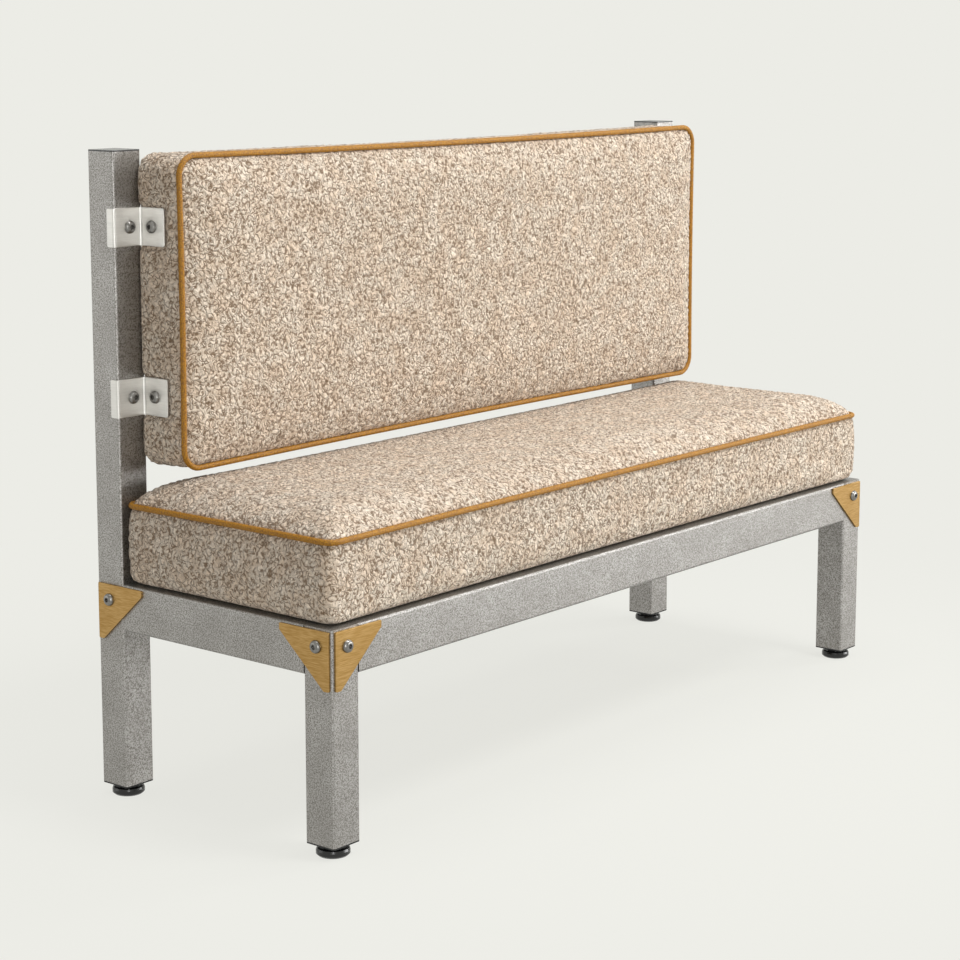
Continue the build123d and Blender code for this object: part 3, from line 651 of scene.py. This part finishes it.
def clear_of_brackets(pad, x, y, level):
    """The pad's ends pressed in behind the brackets' legs.

    Past a leg's edge the limit rises with the share of the easing distance, to the power of 1.5.
    """
    press, ease, rise = 0.8 * MM, 10 * MM, 9 * MM
    for node in ("left_upper_bracket", "left_lower_bracket", "right_upper_bracket", "right_lower_bracket"):
        low, high = (np.array(p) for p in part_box(node))
        side = -1 if low[0] < 0 else 1
        leg_level = pad.base - low[1]
        up_low, up_high = low[2] - pad.centre[2], high[2] - pad.centre[2]
        away = np.maximum.reduce([up_low - y, y - up_high, level - leg_level, np.zeros_like(y)])
        limit = pad.half_width - press + rise * np.clip(away / ease, 0, 1) ** 1.5
        x = np.where((side * x > limit) & (away < ease), side * limit, x)
    return x


def piping_cord(name, pad):
    """A covered cord round the seam: a circle carried along the outline, its radius puckering by a sine."""
    run_points, ring_points, pucker_share = 1400, 14, 0.025
    piping = settings().piping
    x, y = rounded_outline(pad.half_width - piping.inset, pad.half_height - piping.inset, pad.corner,
                           pad.draw_long, pad.draw_short, run_points)
    step = np.column_stack((np.roll(x, -1) - np.roll(x, 1), np.roll(y, -1) - np.roll(y, 1)))
    outward = np.column_stack((step[:, 1], -step[:, 0])) / np.linalg.norm(step, axis=1, keepdims=True)
    run = np.cumsum(np.linalg.norm(step, axis=1) / 2)
    puckers = round(run[-1] / piping.pucker)
    radius = piping.radius * (1 + pucker_share * np.sin(2 * math.pi * puckers * run / run[-1]))
    angle = np.linspace(0, 2 * math.pi, ring_points, endpoint=False)
    across = x[:, None] + outward[:, :1] * radius[:, None] * np.cos(angle)
    up = y[:, None] + outward[:, 1:] * radius[:, None] * np.cos(angle)
    level = pad.seam_level + radius[:, None] * np.sin(angle)
    points = pad.to_frame(across, up, level).reshape(-1, 3)
    cord = mesh_object(name, points, grid_faces(x.size, angle.size, True))
    cord.data.polygons.foreach_set("use_smooth", np.ones(len(cord.data.polygons), dtype=bool))
    return cord


def seat_pad():
    """The seat's sizes."""
    pads = settings().pads
    return Pad("seat_cushion", "seat_piping", "seat_board", True, pads.seat_corner, pads.seat_round,
               pads.seat_crown)


def back_pad():
    """The back's sizes."""
    pads = settings().pads
    return Pad("back_cushion", "back_piping", "back_board", False, pads.back_corner, pads.back_round,
               pads.back_crown)


def dress(shape, material, node):
    """Gives a new piece its material and its body, and hides the node that it stands for."""
    shape.data.materials.clear()
    shape.data.materials.append(material)
    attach(shape, "frame")
    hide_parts(node)


class BENCH_OT_seat(Operator):
    """Make the seat pad's cover and its piping"""

    bl_idname = "bench.seat"
    bl_label = "Seat pad"

    def execute(self, context):
        pad = seat_pad()
        seat = cover("seat_cover", pad, seed=11)
        dress(seat, boucle_material(settings().fabric), "seat_cushion")
        dress(piping_cord("seat_piping_cord", pad), piping_material(settings().piping), "seat_piping")
        return {"FINISHED"}


class BENCH_OT_back(Operator):
    """Make the back pad's cover and its piping"""

    bl_idname = "bench.back"
    bl_label = "Back pad"

    def execute(self, context):
        pad = back_pad()
        back = cover("back_cover", pad, seed=23)
        dress(back, boucle_material(settings().fabric), "back_cushion")
        dress(piping_cord("back_piping_cord", pad), piping_material(settings().piping), "back_piping")
        return {"FINISHED"}


class BENCH_OT_finishes(Operator):
    """Give every carried-over node the finish of its material slot"""

    bl_idname = "bench.finishes"
    bl_label = "Metal, plastic and timber finishes"

    def execute(self, context):
        metal, trim = settings().metal, settings().trim
        bracket_dark = tuple(0.8 * c for c in metal.bracket)
        finishes = {
            "tumbled_aluminium": tumbled_material(metal),
            "satin_aluminium": brushed_material("satin_aluminium", metal.bracket, bracket_dark,
                                                roughness=0.42, line_width=1.2 * MM, contrast=0.3),
            "satin_brass": brushed_material("brushed_brass", metal.brass, metal.brass_dark,
                                            roughness=0.36, line_width=1.0 * MM, contrast=0.8),
            "stainless_screw": turned_material("turned_stainless", metal.screw, roughness=0.28),
            "zinc_steel": turned_material("zinc_plated_steel", metal.stud, roughness=0.35),
            "black_plastic": moulded_material("moulded_nylon", trim.plastic, roughness=0.22,
                                              grain=0.8 * MM),
            "black_rubber": moulded_material("moulded_rubber", trim.rubber, roughness=0.8,
                                             grain=1.2 * MM),
            "birch_plywood": timber_material("birch_plywood", trim.plywood, trim.plywood_grain,
                                             grain_width=3 * MM),
            "softwood": timber_material("planed_softwood", trim.softwood, trim.softwood_grain,
                                        grain_width=5 * MM),
        }
        for part in frame["record"]["subparts"]:
            if part["material_slot"] in finishes:
                mesh = frame["nodes"][part["node"]].data
                mesh.materials.clear()
                mesh.materials.append(finishes[part["material_slot"]])
        return {"FINISHED"}


class BENCH_OT_stage(Operator):
    """Make the floor, the light and the camera"""

    bl_idname = "bench.stage"
    bl_label = "Stage"

    def execute(self, context):
        stage = settings().stage
        scene = context.scene
        scene.view_settings.view_transform = "Standard"
        make_world(scene, stage)
        make_floor(scene, stage)
        for name, place, size in LAMPS:
            add_lamp(scene, name, place, size, getattr(stage, f"{name}_power"))
        make_camera(scene, stage)
        return {"FINISHED"}


def backdrop_rays(tree):
    """One for the rays that show the backdrop: those of the camera, of gloss and through glass."""
    ray = shade(tree, "ShaderNodeLightPath").outputs
    direct = shade(tree, "ShaderNodeMath", {0: ray["Is Camera Ray"], 1: ray["Is Glossy Ray"]},
                   operation="MAXIMUM")
    return shade(tree, "ShaderNodeMath", {0: direct.outputs[0], 1: ray["Is Transmission Ray"]},
                 operation="MAXIMUM").outputs[0]


def make_world(scene, stage):
    """Even light for the object, and the backdrop's own colour wherever it is seen or reflected."""
    world = bpy.data.worlds.new("studio")
    scene.world = world
    world.use_nodes = True
    tree = world.node_tree
    tree.nodes.clear()
    seen = backdrop_rays(tree)
    ambient = shade(tree, "ShaderNodeBackground", {"Color": (1, 1, 1, 1), "Strength": stage.ambient})
    backdrop = shade(tree, "ShaderNodeBackground", {"Color": (*stage.backdrop, 1), "Strength": 1.0})
    mixed = shade(tree, "ShaderNodeMixShader", {0: seen, 1: ambient.outputs[0], 2: backdrop.outputs[0]})
    shade(tree, "ShaderNodeOutputWorld", {"Surface": mixed.outputs[0]})


def make_floor(scene, stage):
    """A pale floor that takes soft shadow near the bench and fades into the backdrop away from it."""
    reach = 8.0
    shadow_share, shadow_near, shadow_far = 0.12, 0.5, 1.6
    corners = np.array([(-reach, -reach, 0), (reach, -reach, 0), (reach, reach, 0), (-reach, reach, 0)])
    floor = mesh_object("floor", corners, np.array([[0, 1, 2, 3]]))
    material = bpy.data.materials.new("pale_floor")
    material.use_nodes = True
    tree = material.node_tree
    tree.nodes.clear()
    place = shade(tree, "ShaderNodeTexCoord").outputs["Object"]
    away = shade(tree, "ShaderNodeVectorMath", {0: place}, operation="LENGTH")
    near = ranged(tree, away.outputs["Value"], shadow_near, shadow_far, shadow_share, 0.0)
    seen = backdrop_rays(tree)
    glow = shade(tree, "ShaderNodeEmission", {"Color": (*stage.backdrop, 1)})
    paint = shade(tree, "ShaderNodeBsdfDiffuse", {"Color": (*stage.backdrop, 1)})
    returned = [stage.bounce * c for c in stage.backdrop]
    bounce = shade(tree, "ShaderNodeBsdfDiffuse", {"Color": (*returned, 1)})
    shadowed = shade(tree, "ShaderNodeMixShader", {0: near, 1: glow.outputs[0], 2: paint.outputs[0]})
    mixed = shade(tree, "ShaderNodeMixShader", {0: seen, 1: bounce.outputs[0], 2: shadowed.outputs[0]})
    shade(tree, "ShaderNodeOutputMaterial", {"Surface": mixed.outputs[0]})
    floor.data.materials.append(material)
    floor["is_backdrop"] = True


def add_lamp(scene, name, place, size, watts):
    """A rectangular lamp that looks at the middle of the bench."""
    lamp = bpy.data.lights.new(name, "AREA")
    lamp.shape = "RECTANGLE"
    lamp.size, lamp.size_y = size
    lamp.energy = watts
    made = bpy.data.objects.new(name, lamp)
    scene.collection.objects.link(made)
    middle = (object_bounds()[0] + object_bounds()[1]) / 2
    made.location = place
    made.rotation_euler = (middle - made.location).to_track_quat("-Z", "Y").to_euler()


def make_camera(scene, stage):
    """The camera fitted to the tubes' corners, on a 36 mm sensor."""
    camera = bpy.data.cameras.new("camera")
    camera.sensor_width = 36.0
    camera.lens = stage.lens
    camera.shift_y = stage.shift
    made = bpy.data.objects.new("camera", camera)
    scene.collection.objects.link(made)
    sin, cos = math.sin(stage.yaw), math.cos(stage.yaw)
    made.location = (-stage.distance * sin + stage.sideways * cos,
                     -stage.distance * cos - stage.sideways * sin, stage.height)
    made.rotation_euler = (math.pi / 2 - stage.pitch, 0, -stage.yaw)
    scene.camera = made


class BENCH_PT_panel(Panel):
    """Sidebar list of the bench's pieces"""

    bl_label = "Booth bench"
    bl_space_type = "VIEW_3D"
    bl_region_type = "UI"
    bl_category = "Bench"

    def draw(self, context):
        for operator in OPERATORS:
            self.layout.operator(operator.bl_idname)


OPERATORS = (BENCH_OT_seat, BENCH_OT_back, BENCH_OT_finishes, BENCH_OT_stage)
CLASSES = (PadSettings, FabricSettings, PipingSettings, MetalSettings, TrimSettings, StageSettings,
           BenchSettings, *OPERATORS, BENCH_PT_panel)


def register():
    """Registers the settings, the operators and the panel."""
    for each in CLASSES:
        bpy.utils.register_class(each)
    bpy.types.Scene.booth_bench = PointerProperty(type=BenchSettings)


def unregister():
    """Takes them all away again."""
    del bpy.types.Scene.booth_bench
    for each in reversed(CLASSES):
        bpy.utils.unregister_class(each)


def main():
    """Makes the whole bench."""
    register()
    bpy.ops.bench.seat()
    bpy.ops.bench.back()
    bpy.ops.bench.finishes()
    bpy.ops.bench.stage()


if __name__ == "__main__":
    main()
